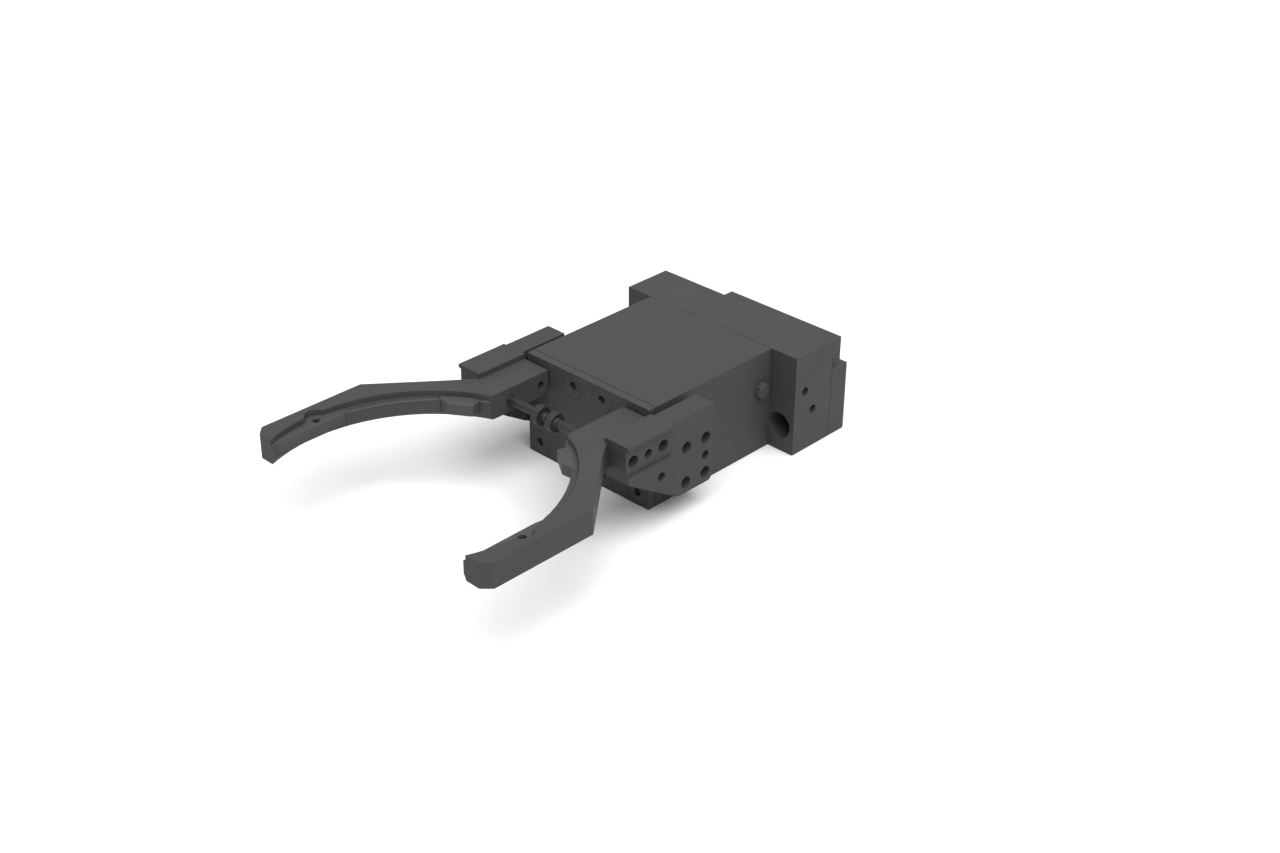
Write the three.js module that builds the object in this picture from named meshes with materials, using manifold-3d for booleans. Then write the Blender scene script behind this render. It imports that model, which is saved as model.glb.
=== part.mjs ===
// Two-jaw parallel pneumatic gripper with C-shaped fingers, in millimetres, +Z up.
// X is the jaw direction, the fingers reach towards -Y, the tool flange is at the rear (+Y).
// Local Y = 0 is the front face of the body; the assembly is then shifted so that the origin
// is the centre of the bounding box's bottom face.
import * as THREE from "three";
import { mergeVertices } from "three/addons/utils/BufferGeometryUtils.js";
import Module from "manifold-3d";

const wasm = await Module();
wasm.setup();

// ---------------------------------------------------------------- driving dimensions
const GAP = 0.3; // clearance between pieces that touch in the real gripper
const DATUM_Y = 5; // local front face to the part's frame
const SLIVER = 0.002; // edges shorter than this are dropped after the booleans

const BODY = { width: 100, height: 66.4, rear: 105.7, midZ: 33.2 };
const FRONT_PLATE = { thick: 5.4 };
const CAVITY = { halfX: 45, rearY: 52, z0: 15.7, z1: 50.7, wayRearY: 34.5 };
const CYLINDER = { bore: 46, frontY: 74, sealY: 69.5, bushOd: 22 };
const ROD = { od: 14, frontThread: 8, frontY: 27, rearThread: 10, rearY: 95 };

const BLOCK = { halfX: 69.6, y0: 106, y1: 140.4 };
const HOOK = { x0: -18.9, y1: 147.5, zFront: 55, zRear: 50.6 };
const ADAPTER = { y0: 140.7, y1: 155, height: 46.1 };
const FLANGE = { // the robot-side pattern in the rear of the adapter plate
  register: 32, registerDeep: 6, tapped: 8.4, tappedX: 32, tappedZ: 15, tappedDeep: 12,
  dowel: 6, dowelX: 44, dowelDeep: 8,
};
const MOUNT_BOLT = {
  x: 58.2, z: 17, cbore: 16.8, hole: 10.6, headOd: 15.6, headY: 119, seatY: 130,
  shank: 10, endY: 150, socket: 8, socketDeep: 5,
};
const PORT = { od: 5.8, airway: 5, crossAirway: 3 };
const PORTS = [
  { y: 115.4, z: 40.7, dropX: 10 }, // to the rear chamber
  { y: 123.5, z: 25.7, dropX: 36 }, // to the front chamber
];
const SIDE_PLUG = { y: 96.2, z: 42.2, od: 10.4, proud: 4, stem: 4.4, stemLong: 9 };

const FRONT_SCREW = { headOd: 15.4, headT: 3.5, shank: 6, socket: 4.8, socketDeep: 2.6, endY: 15 };
const FRONT_SCREWS = [
  [-41, 57], [-11.8, 58], [11.8, 58], [41, 57],
  [-41, 8.3], [-12.5, 8.3], [12.5, 8.3], [41, 8.3],
];

const STROKE = 10; // of the cam plate and of each jaw, from closed to open
const PIN = { x: 24, y: 24, od: 8 }; // drive pin with the jaws closed
const CAM = { z0: 27.2, z1: 39.2, frontY: 6.6, halfX: 41.5, hubY: 40, thread: 8.6, threadDeep: 14 };
const PISTON = { od: 45, y0: 76, y1: 90, hole: 10.6, ringOd: 45.4, ringGroove: 39, ringW: 4 };
const NUT = { flats: 17, thick: 5, room: 26 };

const SLIDER = { x0: 14, x1: 53.7, y0: 6, y1: 34.2, z0: 16, z1: 50.4, slotX: 46 };
const PLATE = {
  innerX: 54, outerX: 68.1, // beside the body
  noseInnerX: 51.7, noseOuterX: 69.9, noseY: -0.8, // ahead of the body
  front: -37, rear: 34.2, top: 65.1, bottom: 14.7, noseBottom: 41.4, chamfer: 2.4,
  railZ: 62.8, shelfZ: 45.7, // the groove between them runs along the nose
};
const BOLT_YZ = [[12, 21.5], [12, 44.5], [28.2, 21.5], [28.2, 44.5]];
const DOWEL_YZ = [28.2, 33];
const SPARE_DOWEL_YZ = [-10.3, 35.7];
const FINGER_ROW = { z: 54, rear: -7.4, dowel: -19.4, front: -31.5 };
const HOLE = { big: 7.6, small: 5.7, through: 5, seatX: 58 };
const JAW_SCREW = { head: 7, headT: 4, shank: 4.4, socket: 3.4, socketDeep: 2 };
const DOWEL = { x0: 47.5, fingerX0: 40, x1: 61.5 };

const FINGER = {
  z0: 46.4, z1: 62, rootX0: 31, rootX1: 51.4, rootRear: -1.3,
  outerX: 96, elbowY: -90, tipY: -165, tipChamfer: 5.4,
};
const ARC = { x: -4.7, y: -130.5, r: 92.2 }; // inner curve of the right finger
const RIB = { r: 100, shift: 13.2, axis: 22, bottom: 46.8, edge: 49.9, top: 58.6 }; // flatter arc
const PAD = { z0: 51.4, z1: 58.6 };
// `face` and `back` are measured from the arc's centre. The face is flat from t0 to t1; each end
// then slopes back by `rise` over a length `run`.
const TIP_PAD = {
  angle: 0, face: 84.9, t0: -28, t1: 13.5, run0: 4.3, rise0: 0.4, run1: 8, rise1: 1.2, back: 95.3,
};
const ROOT_PAD = {
  angle: 56.5, face: 82.9, t0: -7.4, t1: 7.4, run0: 7, rise0: 5.7, run1: 2.4, rise1: 7.2, back: 98.4,
};
const PAD_SCREW = { // in the tip pad, from above
  x: 85.3, y: -130.5, head: 4.7, headZ: 57.4, hole: 5.2, seat: 55.4, cbore: 13,
  shank: 3.8, endZ: 49.6, tap: 4.4, tapZ: 49.3, socket: 2.5, socketZ: 56.2,
};
const ROOT_SCREW = { r: 94.8, od: 4.6, hole: 5.2, skin: 1.2 }; // from below; r from the arc's centre
const STOP = { rod: 5.5, nose: 0.2, collarOd: 12, collar0: 3.4, collar1: 8, end: 57.5 };

// ---------------------------------------------------------------- materials
const paint = (color, roughness, metalness) =>
  new THREE.MeshStandardMaterial({ color, roughness, metalness });
const ANODISED = () => paint(0x5b5d60, 0.55, 0.35);
const STEEL = () => paint(0x8b8e92, 0.35, 0.9);
const BLACK_STEEL = () => paint(0x2a2b2d, 0.5, 0.7);
const BRONZE = () => paint(0x9a7442, 0.4, 0.85);
const URETHANE = () => paint(0x6a6c6d, 0.8, 0);
const SEAL = () => paint(0x151515, 0.85, 0);

// ---------------------------------------------------------------- solids
function solid(geometry) {
  const g = geometry.index ? geometry.toNonIndexed() : geometry.clone();
  g.deleteAttribute("normal");
  g.deleteAttribute("uv");
  const merged = mergeVertices(g, 1e-4);
  return new wasm.Manifold(new wasm.Mesh({
    numProp: 3,
    vertProperties: merged.attributes.position.array,
    triVerts: new Uint32Array(merged.index.array),
  }));
}

function geometryOf(body) {
  const m = body.getMesh();
  const g = new THREE.BufferGeometry();
  g.setAttribute("position", new THREE.BufferAttribute(Float32Array.from(m.vertProperties), 3));
  g.setIndex(new THREE.BufferAttribute(Uint32Array.from(m.triVerts), 1));
  const flat = g.toNonIndexed();
  flat.computeVertexNormals();
  return flat;
}

// A box from its two corners.
function box(x0, x1, y0, y1, z0, z1) {
  const g = new THREE.BoxGeometry(x1 - x0, y1 - y0, z1 - z0);
  return solid(g.translate((x0 + x1) / 2, (y0 + y1) / 2, (z0 + z1) / 2));
}

// A round bar (or a bar with `sides` sides) along an axis, from a to b; u, v are the other two
// coordinates in the order x, y, z.
function bar(axis, d, a, b, u, v, sides = 16) {
  const g = new THREE.CylinderGeometry(d / 2, d / 2, b - a, sides);
  const mid = (a + b) / 2;
  if (axis === "x") g.rotateZ(Math.PI / 2).translate(mid, u, v);
  if (axis === "y") g.translate(u, mid, v);
  if (axis === "z") g.rotateX(Math.PI / 2).translate(u, v, mid);
  return solid(g);
}

// A hexagon across flats, as the diameter over its corners.
const hex = (flats) => flats / Math.cos(Math.PI / 6);

// A plan outline (list of [x, y]) raised from z0 to z1.
function plan(points, z0, z1) {
  const shape = new THREE.Shape(points.map(([x, y]) => new THREE.Vector2(x, y)));
  return solid(new THREE.ExtrudeGeometry(shape, { depth: z1 - z0, bevelEnabled: false })
    .translate(0, 0, z0));
}

// A side outline (list of [y, z]) carried along X from x0 to x1.
function side(points, x0, x1) {
  const shape = new THREE.Shape(points.map(([y, z]) => new THREE.Vector2(y, z)));
  const g = new THREE.ExtrudeGeometry(shape, { depth: x1 - x0, bevelEnabled: false });
  g.rotateX(Math.PI / 2).rotateZ(Math.PI / 2); // (y, z, depth) to (depth, y, z)
  return solid(g.translate(x0, 0, 0));
}

const cut = (body, ...tools) => tools.reduce((b, t) => b.subtract(t), body);
const join = (body, ...others) => others.reduce((b, o) => b.add(o), body);

// ---------------------------------------------------------------- assembly
const gripper = new THREE.Group();
gripper.name = "pneumatic_gripper";
const assembly = new THREE.Group();
assembly.position.y = DATUM_Y;
gripper.add(assembly);

function place(name, body, material) {
  const mesh = new THREE.Mesh(geometryOf(body), material());
  mesh.name = name;
  assembly.add(mesh);
}

// The same piece on the right (+X) and mirrored on the left (-X).
function placePair(name, body, material) {
  const clean = body.simplify(SLIVER);
  place(name + "_right", clean, material);
  place(name + "_left", clean.mirror([1, 0, 0]), material);
}

// ---------------------------------------------------------------- body
function housing() {
  const half = BODY.width / 2;
  let b = box(-half, half, FRONT_PLATE.thick + GAP, BODY.rear, 0, BODY.height);
  const y0 = FRONT_PLATE.thick - 1;
  b = cut(
    b,
    box(-half - 1, half + 1, y0, CAVITY.wayRearY, CAVITY.z0, CAVITY.z1), // ways of the sliders
    box(-CAVITY.halfX, CAVITY.halfX, y0, CAVITY.rearY, CAVITY.z0, CAVITY.z1), // cam space
    bar("y", CYLINDER.bore, CYLINDER.frontY, BODY.rear + 1, 0, BODY.midZ, 32),
    bar("y", CYLINDER.bushOd + 2 * GAP, CAVITY.rearY - 1, CYLINDER.frontY + 1, 0, BODY.midZ),
  );
  for (const [x, z] of FRONT_SCREWS)
    b = cut(b, bar("y", FRONT_SCREW.shank + 2 * GAP, y0, FRONT_SCREW.endY + 2, x, z, 8));
  // Air to the front chamber: a long drilling beside the bore, and a cross drilling into it.
  const front = PORTS[1];
  b = cut(
    b,
    bar("y", PORT.airway, CYLINDER.frontY - 1.5, BODY.rear + 1, front.dropX, front.z, 12),
    bar("x", PORT.crossAirway, 18, front.dropX, CYLINDER.frontY + 1.2, front.z, 12),
  );
  // Cross drillings into the rear chamber, each closed by a side plug.
  for (const s of [-1, 1]) {
    const ends = s > 0 ? [18, half + 1] : [-half - 1, -18];
    b = cut(b, bar("x", PORT.airway, ...ends, SIDE_PLUG.y, SIDE_PLUG.z, 16));
  }
  return b;
}

function frontPlate() {
  const half = BODY.width / 2;
  let b = box(-half, half, 0, FRONT_PLATE.thick, 0, BODY.height);
  for (const [x, z] of FRONT_SCREWS)
    b = cut(
      b,
      bar("y", FRONT_SCREW.headOd + 2 * GAP, -1, FRONT_SCREW.headT + GAP, x, z, 20),
      bar("y", FRONT_SCREW.shank + 2 * GAP, -1, FRONT_PLATE.thick + 1, x, z, 8),
    );
  return b;
}

function frontScrew(x, z) {
  const { headOd, headT, shank, socket, socketDeep, endY } = FRONT_SCREW;
  return cut(
    join(bar("y", headOd, 0, headT, x, z, 20), bar("y", shank, headT - 0.5, endY, x, z, 8)),
    bar("y", hex(socket), -1, socketDeep, x, z, 6),
  );
}

function rearBlock() {
  const { halfX, y0, y1 } = BLOCK;
  let b = box(-halfX, halfX, y0, y1, 0, BODY.height);
  // The hook over the adapter plate, on the right-hand part of the block only.
  const hook = [[y1 - 2, BODY.height], [y1 - 2, HOOK.zFront + 1.5], [y1, HOOK.zFront],
    [HOOK.y1, HOOK.zRear], [HOOK.y1, BODY.height]];
  b = join(b, side(hook, HOOK.x0, halfX));
  for (const s of [-1, 1])
    b = cut(
      b,
      bar("y", MOUNT_BOLT.cbore, y0 - 1, MOUNT_BOLT.seatY, s * MOUNT_BOLT.x, MOUNT_BOLT.z, 24),
      bar("y", MOUNT_BOLT.hole, y0, y1 + 1, s * MOUNT_BOLT.x, MOUNT_BOLT.z),
    );
  for (const p of PORTS)
    b = cut(
      b,
      bar("x", PORT.od, p.dropX, halfX + 1, p.y, p.z),
      bar("y", PORT.airway, y0 - 1, p.y, p.dropX, p.z, 12),
    );
  return cut(b, bar("y", NUT.room, y0 - 1, y0 + 4, 0, BODY.midZ)); // room for the piston nut
}

function adapterPlate() {
  const { y0, y1, height } = ADAPTER;
  const f = FLANGE, mid = height / 2;
  let b = box(-BLOCK.halfX, BLOCK.halfX, y0, y1, 0, height);
  b = cut(b, bar("y", f.register, y1 - f.registerDeep, y1 + 1, 0, mid, 24));
  for (const s of [-1, 1]) {
    b = cut(
      b,
      bar("y", MOUNT_BOLT.hole, y0 - 1, y1 - 3, s * MOUNT_BOLT.x, MOUNT_BOLT.z),
      bar("y", f.dowel, y1 - f.dowelDeep, y1 + 1, s * f.dowelX, mid, 16),
    );
    for (const z of [mid - f.tappedZ, mid + f.tappedZ])
      b = cut(b, bar("y", f.tapped, y1 - f.tappedDeep, y1 + 1, s * f.tappedX, z, 16));
  }
  return b;
}

function mountBolt() {
  const { x, z, headOd, headY, seatY, shank, endY, socket, socketDeep } = MOUNT_BOLT;
  return cut(
    join(bar("y", headOd, headY, seatY - GAP, x, z, 24), bar("y", shank, seatY - 1, endY, x, z, 20)),
    bar("y", hex(socket), headY - 1, headY + socketDeep, x, z, 6),
  );
}

function sidePlug() {
  const x = BODY.width / 2;
  const { y, z, od, proud, stem, stemLong } = SIDE_PLUG;
  return join(
    bar("x", od, x + GAP, x + proud, y, z, 8),
    bar("x", stem, x - stemLong, x + 1, y, z, 16),
  );
}

// The bush guides the rod and the seal behind it faces the cylinder.
function rodRing(y0, y1) {
  return cut(
    bar("y", CYLINDER.bushOd, y0, y1, 0, BODY.midZ),
    bar("y", ROD.od + 2 * GAP, y0 - 1, y1 + 1, 0, BODY.midZ),
  );
}

place("housing", housing(), ANODISED);
place("front_plate", frontPlate(), ANODISED);
FRONT_SCREWS.forEach(([x, z], i) => place("front_screw_" + (i + 1), frontScrew(x, z), ANODISED));
place("rear_block", rearBlock(), ANODISED);
place("adapter_plate", adapterPlate(), ANODISED);
placePair("mount_bolt", mountBolt(), BLACK_STEEL);
placePair("side_plug", sidePlug(), ANODISED);
place("rod_bush", rodRing(CAVITY.rearY + GAP, CYLINDER.sealY - GAP), BRONZE);
place("rod_seal", rodRing(CYLINDER.sealY, CYLINDER.frontY - GAP), SEAL);

// ---------------------------------------------------------------- piston and cam plate
function piston() {
  const { od, y0, y1, hole, ringGroove, ringW } = PISTON;
  const mid = (y0 + y1) / 2;
  const groove = cut(
    bar("y", od + 2, mid - ringW / 2 - GAP, mid + ringW / 2 + GAP, 0, BODY.midZ, 32),
    bar("y", ringGroove, y0, y1, 0, BODY.midZ, 32),
  );
  return cut(
    bar("y", od, y0, y1, 0, BODY.midZ, 32),
    groove,
    bar("y", hole, y0 - 1, y1 + 1, 0, BODY.midZ),
  );
}

function pistonRing() {
  const { ringOd, ringGroove, ringW, y0, y1 } = PISTON;
  const mid = (y0 + y1) / 2;
  return cut(
    bar("y", ringOd, mid - ringW / 2, mid + ringW / 2, 0, BODY.midZ, 32),
    bar("y", ringGroove + 2 * GAP, y0, y1, 0, BODY.midZ, 32),
  );
}

function pistonRod() {
  const z = BODY.midZ;
  return join(
    bar("y", ROD.od, CAM.hubY + GAP, PISTON.y0 - GAP, 0, z),
    bar("y", ROD.frontThread, ROD.frontY, CAM.hubY + 1, 0, z, 16),
    bar("y", ROD.rearThread, PISTON.y0 - 1, ROD.rearY, 0, z, 16),
  );
}

// Each slot runs at 45 degrees, so a pin moves outwards as far as the plate moves back.
function camSlot(s) {
  const w = (PIN.od + 2 * GAP) / 2;
  const z0 = CAM.z0 - 1, z1 = CAM.z1 + 1;
  const a = [PIN.x, PIN.y], b = [PIN.x + STROKE, PIN.y - STROKE];
  const k = w / Math.SQRT2;
  const flanks = [[a[0] - k, a[1] - k], [b[0] - k, b[1] - k], [b[0] + k, b[1] + k],
    [a[0] + k, a[1] + k]];
  const slot = join(plan(flanks, z0, z1), bar("z", 2 * w, z0, z1, ...a), bar("z", 2 * w, z0, z1, ...b));
  return s > 0 ? slot : slot.mirror([1, 0, 0]);
}

function camPlate() {
  const { z0, z1, frontY, halfX, hubY, thread, threadDeep } = CAM;
  const right = [[halfX, frontY], [halfX, frontY + 11], [29, 31], [13, 33], [13, hubY]];
  const outline = [...right, ...right.map(([x, y]) => [-x, y]).reverse()];
  return cut(
    plan(outline, z0, z1),
    camSlot(1),
    camSlot(-1),
    bar("y", thread, hubY - threadDeep, hubY + 1, 0, BODY.midZ, 16),
  );
}

function pistonNut() {
  const y = PISTON.y1, z = BODY.midZ;
  return cut(
    bar("y", hex(NUT.flats), y + GAP, y + NUT.thick, 0, z, 6),
    bar("y", PISTON.hole, y, y + NUT.thick + 1, 0, z, 16),
  );
}

place("piston", piston(), ANODISED);
place("piston_ring", pistonRing(), SEAL);
place("piston_rod", pistonRod(), STEEL);
place("piston_nut", pistonNut(), STEEL);
place("cam_plate", camPlate(), STEEL);

// ---------------------------------------------------------------- right jaw, mirrored for the left
function slider() {
  const { x0, x1, y0, y1, z0, z1, slotX } = SLIDER;
  let b = cut(
    box(x0, x1, y0, y1, z0, z1),
    box(x0 - 1, slotX, y0 - 1, y1 + 1, CAM.z0 - GAP, CAM.z1 + GAP), // fork round the cam plate
    bar("z", PIN.od + 2 * GAP, z0 - 1, z1 - 2, PIN.x, PIN.y),
    bar("x", HOLE.small, slotX + 1, x1 + 1, ...DOWEL_YZ, 16),
  );
  for (const yz of BOLT_YZ) b = cut(b, bar("x", HOLE.through, 42, x1 + 1, ...yz, 8));
  return b;
}

function jawPlate() {
  const p = PLATE;
  const slope = (p.noseBottom - p.bottom) / (p.front - 6.2);
  const cornerZ = p.noseBottom + slope * (p.noseY - p.front);
  const rear = [[p.noseY, p.top], [p.noseY, cornerZ], [6.2, p.bottom],
    [p.rear - p.chamfer, p.bottom], [p.rear, p.bottom + p.chamfer], [p.rear, p.top]];
  const nose = [[p.front, p.top], [p.front, p.noseBottom], [p.noseY + 0.01, cornerZ],
    [p.noseY + 0.01, p.top]];
  let b = join(side(rear, p.innerX, p.outerX), side(nose, p.noseInnerX, p.noseOuterX));
  b = cut(b, box(p.outerX, p.noseOuterX + 1, p.front - 1, p.noseY + 2, p.shelfZ, p.railZ));
  for (const yz of BOLT_YZ)
    b = cut(b, bar("x", HOLE.big, HOLE.seatX, 80, ...yz), bar("x", HOLE.through, 40, 80, ...yz, 8));
  b = cut(
    b,
    bar("x", HOLE.small, 40, 80, ...DOWEL_YZ),
    bar("x", HOLE.small, 40, 80, ...SPARE_DOWEL_YZ),
    bar("x", HOLE.small, 40, 80, FINGER_ROW.dowel, FINGER_ROW.z),
  );
  for (const [y, through] of [[FINGER_ROW.rear, HOLE.through], [FINGER_ROW.front, STOP.rod + 2 * GAP]])
    b = cut(
      b,
      bar("x", HOLE.big, HOLE.seatX, 80, y, FINGER_ROW.z),
      bar("x", through, 40, 80, y, FINGER_ROW.z),
    );
  return b;
}

// A socket screw along X whose head sits deep in the plate.
function jawScrew(endX, y, z) {
  const { head, headT, shank, socket, socketDeep } = JAW_SCREW;
  const x = HOLE.seatX + GAP;
  return cut(
    join(bar("x", head, x, x + headT, y, z, 12), bar("x", shank, endX, x + 1, y, z, 8)),
    bar("x", hex(socket), x + headT - socketDeep, x + headT + 1, y, z, 6),
  );
}

// Plan outline of the finger, from the rear of the root round the outside to the inner arc.
function fingerOutline() {
  const f = FINGER;
  const pts = [[f.rootX1, f.rootRear], [f.rootX1, PLATE.front - GAP], [54, PLATE.front - GAP]];
  const blend = new THREE.QuadraticBezierCurve(
    new THREE.Vector2(54.3, -38.5), new THREE.Vector2(56.6, -42.8), new THREE.Vector2(64, -51.7));
  for (const p of blend.getPoints(5)) pts.push([p.x, p.y]);
  pts.push([f.outerX, f.elbowY], [f.outerX, f.tipY + f.tipChamfer],
    [f.outerX - f.tipChamfer, f.tipY]);
  const from = Math.asin((f.tipY - ARC.y) / ARC.r);
  const to = Math.acos((f.rootX0 - ARC.x) / ARC.r);
  const steps = 24;
  for (let i = 0; i <= steps; i++) {
    const t = from + ((to - from) * i) / steps;
    pts.push([ARC.x + ARC.r * Math.cos(t), ARC.y + ARC.r * Math.sin(t)]);
  }
  pts.push([f.rootX0, f.rootRear]);
  return pts;
}

// The rib along the inner arc: its section is scaled by how far the flatter arc stands inside.
function rib() {
  const rad = Math.PI / 180;
  const stations = 18, from = -24, to = 70;
  const section = (s) => [[-2, RIB.bottom], [0, RIB.bottom], [s, RIB.edge], [s, RIB.top - 0.6],
    [s - 0.6, RIB.top], [-2, RIB.top]];
  const pos = [];
  let n = 0;
  for (let i = 0; i <= stations; i++) {
    const a = (from + ((to - from) * i) / stations) * rad;
    const s = ARC.r - (RIB.r - RIB.shift * Math.cos(a - RIB.axis * rad));
    const ring = section(s);
    n = ring.length;
    for (const [q, z] of ring)
      pos.push(ARC.x + (ARC.r - q) * Math.cos(a), ARC.y + (ARC.r - q) * Math.sin(a), z);
  }
  const index = [];
  for (let i = 0; i < stations; i++)
    for (let j = 0; j < n; j++) {
      const a = i * n + j, b = i * n + ((j + 1) % n);
      index.push(a, b, a + n, b, b + n, a + n);
    }
  for (let j = 1; j < n - 1; j++) {
    index.push(0, j + 1, j);
    const e = stations * n;
    index.push(e, e + j, e + j + 1);
  }
  const g = new THREE.BufferGeometry();
  g.setAttribute("position", new THREE.Float32BufferAttribute(pos, 3));
  g.setIndex(index);
  return solid(g);
}

// A contact pad, drawn in its own plan (r outwards from the arc's centre, t along the face) and
// turned into place. `grow` makes its pocket.
function pad({ angle, face, t0, t1, run0, rise0, run1, rise1, back }, grow = 0) {
  const front = face - grow, start = t0 - grow, end = t1 + grow, rear = back + grow;
  const outline = [
    [front, start], [front + rise0, start - run0], [rear, start - run0],
    [rear, end + run1], [front + rise1, end + run1], [front, end],
  ];
  const block = plan(outline, PAD.z0 - grow, PAD.z1 + grow);
  return block.rotate([0, 0, angle]).translate([ARC.x, ARC.y, 0]);
}

// The middle of the root pad's set screw, in plan.
function rootScrewXY() {
  const a = (ROOT_PAD.angle * Math.PI) / 180;
  return [ARC.x + ROOT_SCREW.r * Math.cos(a), ARC.y + ROOT_SCREW.r * Math.sin(a)];
}

function finger() {
  const f = FINGER;
  let b = join(plan(fingerOutline(), f.z0, f.z1), rib());
  // The rib stops at the tip and at the root's inner face.
  b = b.intersect(box(f.rootX0, f.outerX + 1, f.tipY, 10, 0, 90));
  b = cut(b, pad(TIP_PAD, GAP), pad(ROOT_PAD, GAP));
  b = cut(
    b,
    bar("z", PAD_SCREW.cbore, PAD.z1, f.z1 + 1, PAD_SCREW.x, PAD_SCREW.y, 24),
    bar("z", PAD_SCREW.tap, PAD_SCREW.tapZ, PAD.z0, PAD_SCREW.x, PAD_SCREW.y, 12),
    bar("z", ROOT_SCREW.hole, f.z0 - 1, PAD.z0 + 1, ...rootScrewXY(), 16),
    bar("x", STOP.rod, f.rootX0 - 1, f.rootX1 + 1, FINGER_ROW.rear, FINGER_ROW.z),
    bar("x", STOP.rod + 2 * GAP, f.rootX0 - 1, f.rootX1 + 1, FINGER_ROW.front, FINGER_ROW.z),
    bar("x", HOLE.small, 39, f.rootX1 + 1, FINGER_ROW.dowel, FINGER_ROW.z, 12),
  );
  // Rounded lower rear corner of the root.
  const r = 6, y = f.rootRear, corner = [];
  for (let i = 0; i <= 6; i++) {
    const a = (i / 6) * (Math.PI / 2);
    corner.push([y - r + r * Math.sin(a), f.z0 + r - r * Math.cos(a)]);
  }
  return cut(b, side([...corner, [y + 1, f.z0 + r], [y + 1, f.z0 - 1], [y - r, f.z0 - 1]],
    f.rootX0 - 1, f.rootX1 + 1));
}

function stopStud() {
  const y = FINGER_ROW.front, z = FINGER_ROW.z;
  return join(
    bar("x", STOP.rod, STOP.nose, STOP.end, y, z),
    bar("x", STOP.collarOd, STOP.collar0, STOP.collar1, y, z),
  );
}

function tipPad() {
  const { x, y, hole, seat, tap } = PAD_SCREW;
  return cut(
    pad(TIP_PAD),
    bar("z", hole, seat, PAD.z1 + 1, x, y),
    bar("z", tap, PAD.z0 - 1, PAD.z1 + 1, x, y, 12),
  );
}

function tipPadScrew() {
  const { x, y, head, headZ, seat, shank, endZ, socket, socketZ } = PAD_SCREW;
  return cut(
    join(bar("z", head, seat + GAP, headZ, x, y, 12), bar("z", shank, endZ, seat + 0.6, x, y, 8)),
    bar("z", hex(socket), socketZ, headZ + 1, x, y, 6),
  );
}

function rootPad() {
  return cut(
    pad(ROOT_PAD),
    bar("z", ROOT_SCREW.hole, PAD.z0 - 1, PAD.z1 - ROOT_SCREW.skin, ...rootScrewXY(), 16),
  );
}

function rootPadScrew() {
  const top = PAD.z1 - ROOT_SCREW.skin - GAP;
  return bar("z", ROOT_SCREW.od, FINGER.z0 + GAP, top, ...rootScrewXY(), 16);
}

const dowel = (x0, sides, y, z) => bar("x", HOLE.small - 2 * GAP, x0, DOWEL.x1, y, z, sides);
const drivePin = bar("z", PIN.od, SLIDER.z0 + 2.3, SLIDER.z1 - 2.3, PIN.x, PIN.y);

placePair("slider", slider(), STEEL);
placePair("drive_pin", drivePin, STEEL);
placePair("jaw_plate", jawPlate(), ANODISED);
BOLT_YZ.forEach((yz, i) => placePair("plate_screw_" + (i + 1), jawScrew(45, ...yz), BLACK_STEEL));
placePair("plate_dowel", dowel(DOWEL.x0, 16, ...DOWEL_YZ), STEEL);
placePair("finger", finger(), ANODISED);
placePair("finger_screw", jawScrew(40, FINGER_ROW.rear, FINGER_ROW.z), BLACK_STEEL);
placePair("finger_dowel", dowel(DOWEL.fingerX0, 12, FINGER_ROW.dowel, FINGER_ROW.z), STEEL);
placePair("stop_stud", stopStud(), STEEL);
placePair("tip_pad", tipPad(), URETHANE);
placePair("tip_pad_screw", tipPadScrew(), BLACK_STEEL);
placePair("root_pad", rootPad(), URETHANE);
placePair("root_pad_screw", rootPadScrew(), BLACK_STEEL);

export default gripper;
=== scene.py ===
"""Looks of the two-jaw pneumatic gripper: materials, edges, turned hardware, pads, light and camera."""
import math

import bmesh
import bpy
from mathutils import Matrix, Vector


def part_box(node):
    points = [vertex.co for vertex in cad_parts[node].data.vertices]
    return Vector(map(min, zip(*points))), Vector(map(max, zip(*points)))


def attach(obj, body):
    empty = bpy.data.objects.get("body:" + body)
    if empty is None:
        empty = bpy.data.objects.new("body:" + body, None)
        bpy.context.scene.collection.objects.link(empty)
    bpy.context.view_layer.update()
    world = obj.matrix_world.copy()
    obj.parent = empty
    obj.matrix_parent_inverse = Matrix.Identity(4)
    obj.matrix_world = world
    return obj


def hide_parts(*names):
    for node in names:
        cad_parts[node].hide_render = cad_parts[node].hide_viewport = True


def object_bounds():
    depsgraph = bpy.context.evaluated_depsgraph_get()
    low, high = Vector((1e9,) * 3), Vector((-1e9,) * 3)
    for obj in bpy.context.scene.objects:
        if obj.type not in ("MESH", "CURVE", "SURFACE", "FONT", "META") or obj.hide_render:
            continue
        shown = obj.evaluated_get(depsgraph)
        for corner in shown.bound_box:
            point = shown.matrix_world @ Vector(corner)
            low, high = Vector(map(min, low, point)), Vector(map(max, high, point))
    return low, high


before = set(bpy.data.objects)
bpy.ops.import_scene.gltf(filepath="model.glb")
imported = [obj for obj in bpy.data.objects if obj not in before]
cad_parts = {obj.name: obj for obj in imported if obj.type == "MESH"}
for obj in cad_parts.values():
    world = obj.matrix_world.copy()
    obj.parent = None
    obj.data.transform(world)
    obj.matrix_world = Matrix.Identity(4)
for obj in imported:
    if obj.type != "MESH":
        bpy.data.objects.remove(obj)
CAD_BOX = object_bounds()
MM = 0.001

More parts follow.
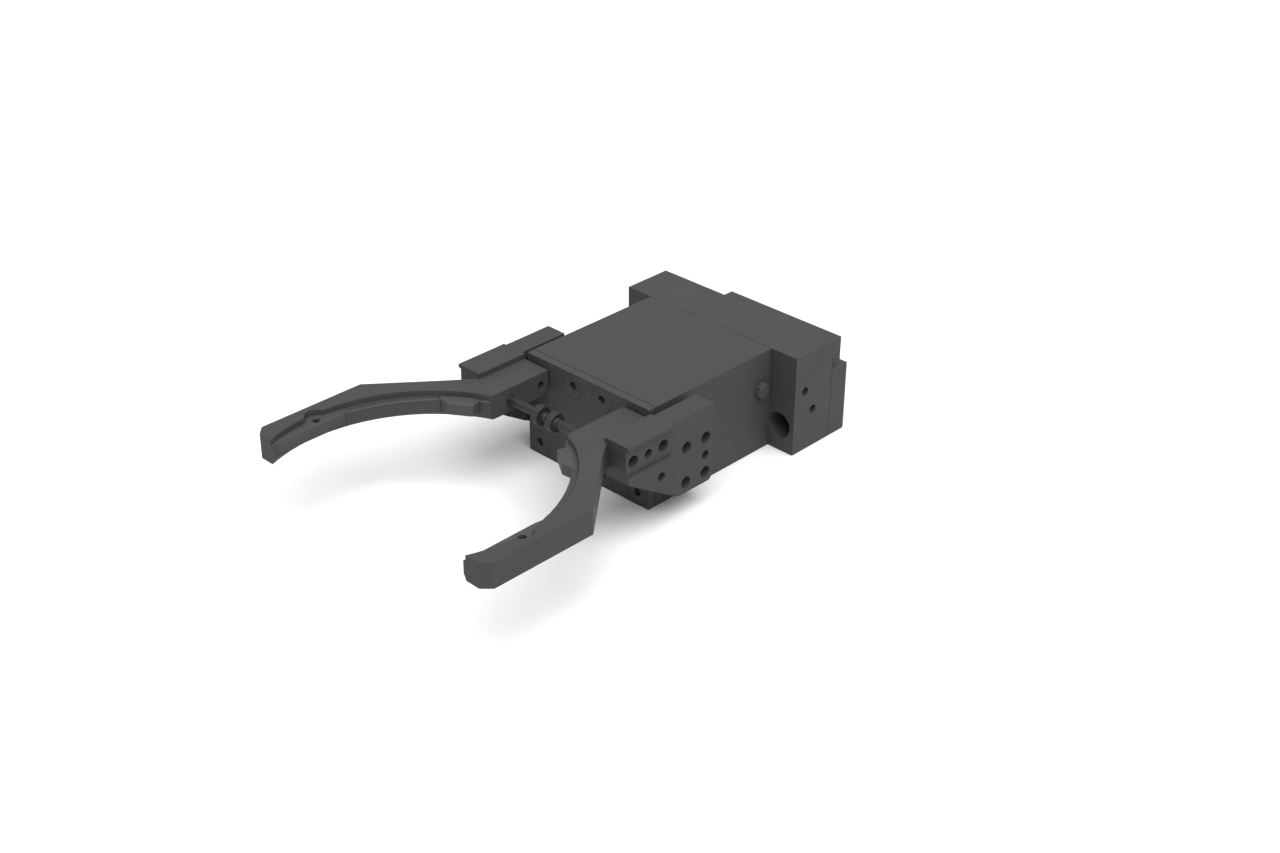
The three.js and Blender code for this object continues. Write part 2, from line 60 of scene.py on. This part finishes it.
# ---------------------------------------------------------------- driving values
CAMERA = {
    "place": Vector((0.690, -0.670, 0.593)),
    "azimuth": math.radians(43.79),
    "elevation": math.radians(30.0),
    "roll": math.radians(0.44),
    "lens": 53.46,
}
EDGE = {"body": 0.3 * MM, "finger": 0.25 * MM, "inside": 0.2 * MM}
SMOOTH_ANGLE = math.radians(35)
FLAT_ANGLE = math.radians(0.6)
SHARP_ANGLE = math.radians(28)
PAD = {"swell": 0.12 * MM, "edge": 0.5 * MM, "weld": 0.005 * MM, "flat": math.radians(1)}
FLOOR = {"size": 12, "drop": 0.3 * MM}
WORLD_STRENGTH = 0.8
SUN = {"strength": 4.0, "angle": math.radians(60), "towards": Vector((0.40, -0.17, 0.90))}

# Turned hardware, in millimetres.
FRONT_SCREW = {"head": 15.7, "height": 3.5, "flats": 4.8, "deep": 3.0, "shank": 6}
MOUNT_BOLT = {"head": 15.6, "height": 10.6, "flats": 8, "deep": 5, "shank": 10}
JAW_SCREW = {"head": 7, "height": 4, "flats": 3.4, "deep": 2, "shank": 4.4}
STUD = {"rod": 5.5, "neck": 6.4, "collar": 12, "near": 3.2, "far": 7.8, "dome": 0.7}
PLUG = {"flats": 9, "crown": 8.6, "flange": 10.3, "hex_end": 3.1, "flange_end": 3.7, "stem": 4.4}
SIDES = ("right", "left")


# ---------------------------------------------------------------- materials
def new_material(name):
    material = bpy.data.materials.new(name)
    material.use_nodes = True
    tree = material.node_tree
    shader = tree.nodes["Principled BSDF"]
    coords = tree.nodes.new("ShaderNodeTexCoord")
    return material, tree, shader, coords


def noise(tree, coords, scale, detail=3.0, stretch=(1, 1, 1)):
    """Noise in the object's own metres; stretch below 1 draws the grain out along that axis."""
    mapping = tree.nodes.new("ShaderNodeMapping")
    mapping.inputs["Scale"].default_value = stretch
    texture = tree.nodes.new("ShaderNodeTexNoise")
    texture.inputs["Scale"].default_value = scale
    texture.inputs["Detail"].default_value = detail
    tree.links.new(coords.outputs["Object"], mapping.inputs["Vector"])
    tree.links.new(mapping.outputs["Vector"], texture.inputs["Vector"])
    return texture.outputs["Fac"]


def ramp(tree, source, stops):
    """A colour ramp; stops are (position, grey level or colour)."""
    node = tree.nodes.new("ShaderNodeValToRGB")
    elements = node.color_ramp.elements
    while len(elements) < len(stops):
        elements.new(0.5)
    for element, (position, value) in zip(elements, stops):
        element.position = position
        colour = value if isinstance(value, tuple) else (value,) * 3
        element.color = (*colour, 1)
    tree.links.new(source, node.inputs["Fac"])
    return node.outputs["Color"]


def grain(tree, shader, layers):
    """Stacks bumps on the shader; layers are (height source, depth in metres)."""
    normal = None
    for source, depth in layers:
        bump = tree.nodes.new("ShaderNodeBump")
        bump.inputs["Strength"].default_value = 1.0
        bump.inputs["Distance"].default_value = depth
        tree.links.new(source, bump.inputs["Height"])
        if normal:
            tree.links.new(normal, bump.inputs["Normal"])
        normal = bump.outputs["Normal"]
    tree.links.new(normal, shader.inputs["Normal"])


def scaled(colour, factor):
    return tuple(c * factor for c in colour)


def matte_anodised(name, colour, roughness):
    """Bead-blasted, dark anodised aluminium: fine pits, faint clouding and handling marks."""
    material, tree, shader, coords = new_material(name)
    clouds = noise(tree, coords, 28, 4)
    shade = ramp(tree, clouds, [(0.3, scaled(colour, 0.97)), (0.7, scaled(colour, 1.03))])
    tree.links.new(shade, shader.inputs["Base Color"])
    rub = noise(tree, coords, 160, 5, (1, 0.25, 1))
    tree.links.new(ramp(tree, rub, [(0.25, roughness - 0.04), (0.75, roughness + 0.04)]),
                   shader.inputs["Roughness"])
    shader.inputs["Metallic"].default_value = 0.0
    shader.inputs["Specular IOR Level"].default_value = 0.25
    pits = noise(tree, coords, 2600, 2)
    grain(tree, shader, [(pits, 0.012 * MM), (rub, 0.004 * MM)])
    return material


def bare_steel(name, colour, roughness, lay=(1, 1, 0.06)):
    """Ground or turned steel with fine marks drawn out along one direction."""
    material, tree, shader, coords = new_material(name)
    marks = noise(tree, coords, 1400, 3, lay)
    tree.links.new(ramp(tree, marks, [(0.3, scaled(colour, 0.8)), (0.7, scaled(colour, 1.15))]),
                   shader.inputs["Base Color"])
    smear = noise(tree, coords, 120, 4)
    tree.links.new(ramp(tree, smear, [(0.3, roughness - 0.06), (0.7, roughness + 0.1)]),
                   shader.inputs["Roughness"])
    shader.inputs["Metallic"].default_value = 0.85
    grain(tree, shader, [(marks, 0.006 * MM)])
    return material


def moulded_rubber(name, colour, roughness):
    """Cast urethane or rubber: soft sheen, a leathery mould skin and a little dust."""
    material, tree, shader, coords = new_material(name)
    dust = noise(tree, coords, 90, 5)
    tree.links.new(ramp(tree, dust, [(0.35, scaled(colour, 0.92)), (0.75, scaled(colour, 1.12))]),
                   shader.inputs["Base Color"])
    tree.links.new(ramp(tree, dust, [(0.3, roughness - 0.05), (0.8, roughness + 0.1)]),
                   shader.inputs["Roughness"])
    skin = noise(tree, coords, 1100, 2)
    grain(tree, shader, [(skin, 0.02 * MM)])
    return material


def pale_floor():
    material, tree, shader, coords = new_material("floor_pale")
    tree.links.new(ramp(tree, noise(tree, coords, 6), [(0.3, 0.64), (0.7, 0.66)]),
                   shader.inputs["Base Color"])
    shader.inputs["Roughness"].default_value = 0.9
    shader.inputs["Specular IOR Level"].default_value = 0.1
    return material


DARK_GREY = (0.035, 0.035, 0.0355)
FINISH = {
    "anodised": matte_anodised("anodised_grey", DARK_GREY, 0.62),
    "plates": matte_anodised("anodised_grey_plates", scaled(DARK_GREY, 0.97), 0.66),
    "screws": bare_steel("black_oxide", (0.03, 0.03, 0.032), 0.5, (1, 1, 1)),
    "steel": bare_steel("ground_steel", (0.22, 0.22, 0.225), 0.42),
    "studs": bare_steel("stud_steel", (0.05, 0.05, 0.051), 0.58, (0.06, 1, 1)),
    "bronze": bare_steel("turned_bronze", (0.3, 0.17, 0.07), 0.4, (1, 0.06, 1)),
    "seal": moulded_rubber("seal_rubber", (0.012, 0.012, 0.012), 0.6),
    "pads": moulded_rubber("urethane_grey", scaled(DARK_GREY, 0.95), 0.7),
}


def paint(piece, finish):
    piece.data.materials.clear()
    piece.data.materials.append(FINISH[finish])


# ---------------------------------------------------------------- CAD nodes that stay
def dress(node, finish, edge):
    """Gives a CAD node its finish and breaks its sharp edges by a small radius."""
    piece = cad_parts[node]
    paint(piece, finish)
    custom = piece.data.attributes.get("custom_normal")
    if custom:
        piece.data.attributes.remove(custom)
    piece.data.shade_smooth()
    weld = piece.modifiers.new("weld", "WELD")
    weld.merge_threshold = 0.002 * MM
    flat = piece.modifiers.new("flat", "DECIMATE")
    flat.decimate_type = "DISSOLVE"
    flat.angle_limit = FLAT_ANGLE
    bevel = piece.modifiers.new("edge", "BEVEL")
    bevel.width = edge
    bevel.segments = 2
    bevel.limit_method = "ANGLE"
    bevel.angle_limit = SMOOTH_ANGLE
    bevel.use_clamp_overlap = True
    bevel.harden_normals = True


# ---------------------------------------------------------------- pieces made here
def hex_radius(flats, angle):
    """Distance from the axis to a hexagon's side at this angle."""
    step = math.radians(60)
    off = (angle + step / 2) % step - step / 2
    return flats / 2 / math.cos(off)


def turned(name, start, direction, rings, finish, body, node, sides=48):
    """A turned piece. rings are (shape, size, along): a diameter for "round", across flats for "hex"
    and the end of the piece for "tip", all in millimetres, along the axis from start."""
    axis = Vector(direction).normalized()
    across = axis.orthogonal().normalized()
    other = axis.cross(across)
    mesh = bmesh.new()
    loops = []
    for shape, size, along in rings:
        centre = Vector(start) + axis * along * MM
        if shape == "tip":
            loops.append([mesh.verts.new(centre)])
            continue
        loop = []
        for i in range(sides):
            angle = 2 * math.pi * i / sides
            radius = hex_radius(size, angle) if shape == "hex" else size / 2
            arm = across * math.cos(angle) + other * math.sin(angle)
            loop.append(mesh.verts.new(centre + arm * radius * MM))
        loops.append(loop)
    for near, far in zip(loops, loops[1:]):
        for i in range(sides):
            j = (i + 1) % sides
            corners = [near[i % len(near)], near[j % len(near)], far[j % len(far)], far[i % len(far)]]
            mesh.faces.new(list(dict.fromkeys(corners)))
    bmesh.ops.recalc_face_normals(mesh, faces=mesh.faces)
    data = bpy.data.meshes.new(name)
    mesh.to_mesh(data)
    mesh.free()
    data.shade_smooth()
    data.set_sharp_from_angle(angle=SHARP_ANGLE)
    return add_piece(name, data, finish, body, node)


def add_piece(name, data, finish, body, node):
    piece = bpy.data.objects.new(name, data)
    bpy.context.scene.collection.objects.link(piece)
    paint(piece, finish)
    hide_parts(node)
    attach(piece, body)
    return piece


def middle(node):
    low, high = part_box(node)
    return (low + high) / 2


def cap_screw(node, body, direction, size, finish="screws"):
    """A socket cap screw seen head first; size is one of the screw dictionaries above."""
    low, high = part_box(node)
    start = middle(node)
    axis = Vector(direction)
    for i in range(3):
        if axis[i]:
            start[i] = low[i] if axis[i] > 0 else high[i]
    diameter, height, shank = size["head"], size["height"], size["shank"]
    flats, depth = size["flats"], size["deep"]
    total = (high - low).dot(Vector(map(abs, axis))) / MM
    rings = [
        ("tip", 0, depth + 0.4),
        ("hex", flats * 0.5, depth),
        ("hex", flats, depth),
        ("hex", flats, 0.25),
        ("round", flats * 1.22, 0.0),
        ("round", diameter - 0.4, 0.0),
        ("round", diameter, 0.2),
        ("round", diameter, height),
        ("round", shank, height),
        ("round", shank, total - 0.6),
        ("round", shank - 1.2, total),
        ("tip", 0, total),
    ]
    return turned(f"{node}_screw", start, direction, rings, finish, body, node)


def front_screws():
    for i in range(1, 9):
        cap_screw(f"front_screw_{i}", "base", (0, 1, 0), FRONT_SCREW, "anodised")


def mount_bolts():
    for side in SIDES:
        cap_screw(f"mount_bolt_{side}", "base", (0, 1, 0), MOUNT_BOLT)


def jaw_screws():
    for side, out in zip(SIDES, (-1, 1)):
        for name in [f"plate_screw_{i}" for i in range(1, 5)] + ["finger_screw"]:
            cap_screw(f"{name}_{side}", f"jaw_{side}", (out, 0, 0), JAW_SCREW)


def stop_studs():
    """A ground rod with a domed nose and a plain collar, screwed into the finger."""
    rod, collar, near, far = STUD["rod"], STUD["collar"], STUD["near"], STUD["far"]
    for side, out in zip(SIDES, (1, -1)):
        node = f"stop_stud_{side}"
        low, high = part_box(node)
        nose = middle(node)
        nose.x = low.x if out > 0 else high.x
        total = (high.x - low.x) / MM
        rings = [("tip", 0, 0)]
        for k in range(1, 5):
            angle = math.radians(22.5 * k)
            width = rod * (0.75 + 0.25 * math.sin(angle))
            rings.append(("round", width, STUD["dome"] * (1 - math.cos(angle))))
        rings += [
            ("round", rod, near),
            ("round", collar - 0.5, near),
            ("round", collar, near + 0.25),
            ("round", collar, far - 0.25),
            ("round", collar - 0.5, far),
            ("round", STUD["neck"], far),
            ("round", rod, far + 0.5),
            ("round", rod, total - 0.5),
            ("round", rod - 1.0, total),
            ("tip", 0, total),
        ]
        turned(f"{node}_turned", nose, (out, 0, 0), rings, "studs", f"jaw_{side}", node)


def side_plugs():
    """A hexagon plug with a chamfered crown, a flange and a round stem."""
    flats, flange, stem, seat = PLUG["flats"], PLUG["flange"], PLUG["stem"], PLUG["flange_end"]
    for side, out in zip(SIDES, (1, -1)):
        node = f"side_plug_{side}"
        low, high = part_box(node)
        face = middle(node)
        face.x = high.x if out > 0 else low.x
        total = (high.x - low.x) / MM
        rings = [
            ("tip", 0, 0),
            ("round", PLUG["crown"], 0),
            ("hex", flats, 0.4),
            ("hex", flats, PLUG["hex_end"]),
            ("round", flange, PLUG["hex_end"] + 0.05),
            ("round", flange, seat),
            ("round", stem, seat),
            ("round", stem, total - 0.5),
            ("round", stem - 1.0, total),
            ("tip", 0, total),
        ]
        turned(f"{node}_turned", face, (-out, 0, 0), rings, "anodised", "base", node)


def cast_pads():
    """The urethane pads: the CAD block, swollen to close its joint lines, with rounded edges."""
    for side in SIDES:
        for node in (f"tip_pad_{side}", f"root_pad_{side}"):
            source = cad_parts[node].data
            mesh = bmesh.new()
            mesh.from_mesh(source)
            bmesh.ops.remove_doubles(mesh, verts=mesh.verts, dist=PAD["weld"])
            bmesh.ops.dissolve_limit(mesh, angle_limit=PAD["flat"], verts=mesh.verts, edges=mesh.edges)
            data = bpy.data.meshes.new(node + "_cast")
            mesh.to_mesh(data)
            mesh.free()
            data.shade_smooth()
            piece = add_piece(node + "_cast", data, "pads", f"jaw_{side}", node)
            swell = piece.modifiers.new("snug_fit", "DISPLACE")
            swell.mid_level = 0
            swell.strength = PAD["swell"]
            bevel = piece.modifiers.new("soft_edge", "BEVEL")
            bevel.width = PAD["edge"]
            bevel.segments = 4
            bevel.limit_method = "ANGLE"
            bevel.angle_limit = SMOOTH_ANGLE
            bevel.harden_normals = True


BODY_NODES = ["housing", "front_plate", "rear_block", "adapter_plate"]
STEEL_NODES = ["piston_rod", "piston_nut", "cam_plate"]
for node in BODY_NODES:
    dress(node, "anodised", EDGE["body"])
dress("piston", "anodised", EDGE["inside"])
for node in STEEL_NODES:
    dress(node, "steel", EDGE["inside"])
for node in ("piston_ring", "rod_seal"):
    dress(node, "seal", EDGE["inside"])
dress("rod_bush", "bronze", EDGE["inside"])
for side in SIDES:
    dress(f"jaw_plate_{side}", "plates", EDGE["body"])
    dress(f"finger_{side}", "anodised", EDGE["finger"])
    dress(f"slider_{side}", "steel", EDGE["inside"])
    for name in ("drive_pin", "plate_dowel", "finger_dowel"):
        dress(f"{name}_{side}", "steel", EDGE["inside"])
    for name in ("tip_pad_screw", "root_pad_screw"):
        dress(f"{name}_{side}", "screws", EDGE["inside"])
front_screws()
mount_bolts()
jaw_screws()
stop_studs()
side_plugs()
cast_pads()


# ---------------------------------------------------------------- floor, light and camera
def floor():
    bpy.ops.mesh.primitive_plane_add(size=FLOOR["size"], location=(0, 0, CAD_BOX[0].z - FLOOR["drop"]))
    plane = bpy.context.object
    plane.name = "floor"
    plane.data.materials.append(pale_floor())


def lights():
    """An even white studio, with one very soft sun from the right and above."""
    world = bpy.data.worlds.new("studio")
    world.use_nodes = True
    background = world.node_tree.nodes["Background"]
    background.inputs["Color"].default_value = (1, 1, 1, 1)
    background.inputs["Strength"].default_value = WORLD_STRENGTH
    bpy.context.scene.world = world
    light = bpy.data.lights.new("softbox", "SUN")
    light.energy = SUN["strength"]
    light.angle = SUN["angle"]
    lamp = bpy.data.objects.new("softbox", light)
    lamp.rotation_euler = SUN["towards"].to_track_quat("Z", "Y").to_euler()
    bpy.context.scene.collection.objects.link(lamp)


def camera():
    azimuth, elevation, roll = CAMERA["azimuth"], CAMERA["elevation"], CAMERA["roll"]
    back = Vector((
        math.sin(azimuth) * math.cos(elevation),
        -math.cos(azimuth) * math.cos(elevation),
        math.sin(elevation),
    ))
    right = Vector((math.cos(azimuth), math.sin(azimuth), 0))
    up = back.cross(right)
    data = bpy.data.cameras.new("camera")
    data.lens = CAMERA["lens"]
    data.sensor_width = 36
    view = bpy.data.objects.new("camera", data)
    bpy.context.scene.collection.objects.link(view)
    tilted = right * math.cos(roll) + up * math.sin(roll)
    level = up * math.cos(roll) - right * math.sin(roll)
    turn = Matrix((tilted, level, back)).transposed()
    view.matrix_world = Matrix.Translation(CAMERA["place"]) @ turn.to_4x4()
    bpy.context.scene.camera = view


floor()
lights()
camera()
bpy.context.scene.view_settings.view_transform = "Standard"
